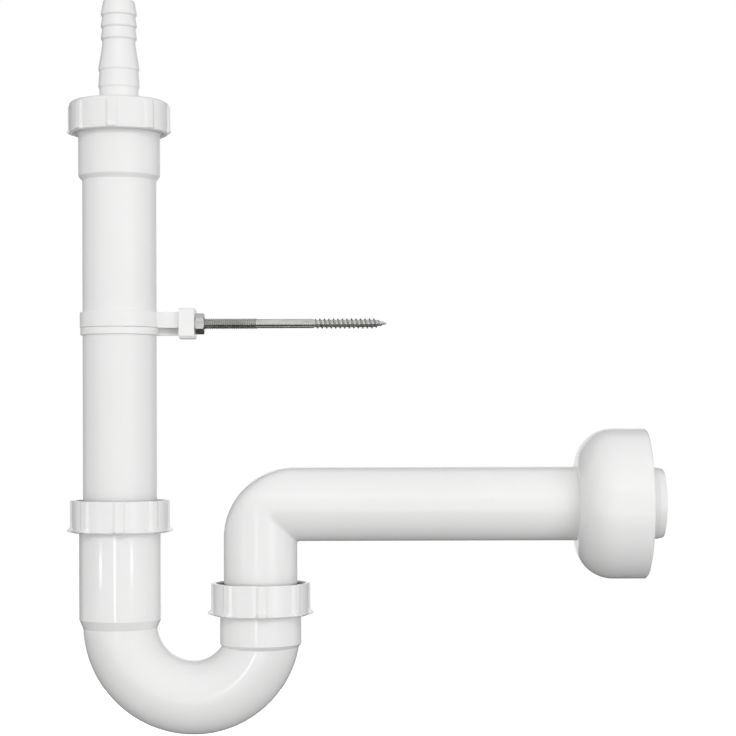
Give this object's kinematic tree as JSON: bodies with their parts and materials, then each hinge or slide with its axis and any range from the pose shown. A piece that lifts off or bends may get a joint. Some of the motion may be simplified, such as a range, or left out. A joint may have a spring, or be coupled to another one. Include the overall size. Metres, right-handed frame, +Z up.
{
  "type": "washing machine trap",
  "caption": "Tubular washing machine trap in white plastic: barbed hose nozzle, sliding inlet tube, U-bend with union nuts, long outlet elbow, wall rosette, and pipe clip on a hanger bolt.",
  "frame": {"origin": "on the outlet pipe's axis, in the plane of the wall that the rosette meets", "axes": "+X along the outlet pipe into the wall, +Z up the inlet tube, +Y level along the wall"},
  "size_m": [0.3236, 0.0816, 0.3984],
  "materials": {
    "white_moulding": "satin white moulded polypropylene",
    "white_tube": "satin white tube",
    "clip_plastic": "white moulded clip",
    "seal_rubber": "black rubber",
    "zinc_steel": "zinc plated steel"
  },
  "bodies": {
    "outlet": {"outlet_elbow": "white_moulding"},
    "rosette": {"rosette": "white_moulding"},
    "trap": {"trap_bend": "white_moulding"},
    "outlet_seal": {"outlet_seal": "seal_rubber"},
    "outlet_nut": {"outlet_nut": "white_moulding"},
    "inlet_seal": {"inlet_seal": "seal_rubber"},
    "inlet_nut": {"inlet_nut": "white_moulding"},
    "inlet": {"inlet_tube": "white_tube", "nozzle_gasket": "seal_rubber"},
    "nozzle": {"hose_nozzle": "white_moulding"},
    "nozzle_nut": {"nozzle_nut": "white_moulding"},
    "clip": {"clip_band": "clip_plastic", "clip_collar": "clip_plastic", "captive_nut": "zinc_steel"},
    "bolt": {"hanger_bolt": "zinc_steel"},
    "lock_nut": {"lock_nut": "zinc_steel"}
  },
  "joints": [
    {"name": "trap_swivel", "type": "hinge", "parent": "outlet", "child": "trap", "pos_m": [-0.209, 0, 0], "axis": [0, 0, 1], "range_deg": [-135, 135]},
    {"name": "rosette_slide", "type": "slide", "parent": "outlet", "child": "rosette", "axis": [1, 0, 0], "range_m": [-0.08, 0]},
    {"name": "outlet_lift", "type": "slide", "parent": "trap", "child": "outlet_seal", "axis": [0, 0, 1], "range_m": [0, 0.0116]},
    {"name": "outlet_nut_turn", "type": "hinge", "parent": "outlet_seal", "child": "outlet_nut", "pos_m": [-0.209, 0, 0], "axis": [0, 0, 1], "range_deg": [0, 1800]},
    {"name": "inlet_lift", "type": "slide", "parent": "trap", "child": "inlet_seal", "axis": [0, 0, 1], "range_m": [0, 0.0116]},
    {"name": "inlet_nut_turn", "type": "hinge", "parent": "inlet_seal", "child": "inlet_nut", "pos_m": [-0.2853, 0, 0], "axis": [0, 0, 1], "range_deg": [0, 1800]},
    {"name": "inlet_height", "type": "slide", "parent": "trap", "child": "inlet", "axis": [0, 0, 1], "range_m": [-0.027, 0.012]},
    {"name": "nozzle_lift", "type": "slide", "parent": "inlet", "child": "nozzle", "axis": [0, 0, 1], "range_m": [0, 0.0116]},
    {"name": "nozzle_nut_turn", "type": "hinge", "parent": "nozzle", "child": "nozzle_nut", "pos_m": [-0.2853, 0, 0], "axis": [0, 0, 1], "range_deg": [0, 1800]},
    {"name": "clip_turn", "type": "hinge", "parent": "inlet", "child": "clip", "pos_m": [-0.2853, 0, 0.0981], "axis": [0, 0, 1], "continuous": true},
    {"name": "bolt_out", "type": "slide", "parent": "clip", "child": "bolt", "axis": [1, 0, 0], "range_m": [0, 0.002]},
    {"name": "lock_nut_turn", "type": "hinge", "parent": "bolt", "child": "lock_nut", "pos_m": [-0.2853, 0, 0.0981], "axis": [1, 0, 0], "range_deg": [0, 721]}
  ],
  "couplings": [
    {"joint": "outlet_lift", "follows": "outlet_nut_turn", "m_per_rad": 0.00036749},
    {"joint": "inlet_lift", "follows": "inlet_nut_turn", "m_per_rad": 0.00036749},
    {"joint": "nozzle_lift", "follows": "nozzle_nut_turn", "m_per_rad": 0.00036749},
    {"joint": "lock_nut_turn", "follows": "bolt_out", "rad_per_m": 6283.2}
  ]
}
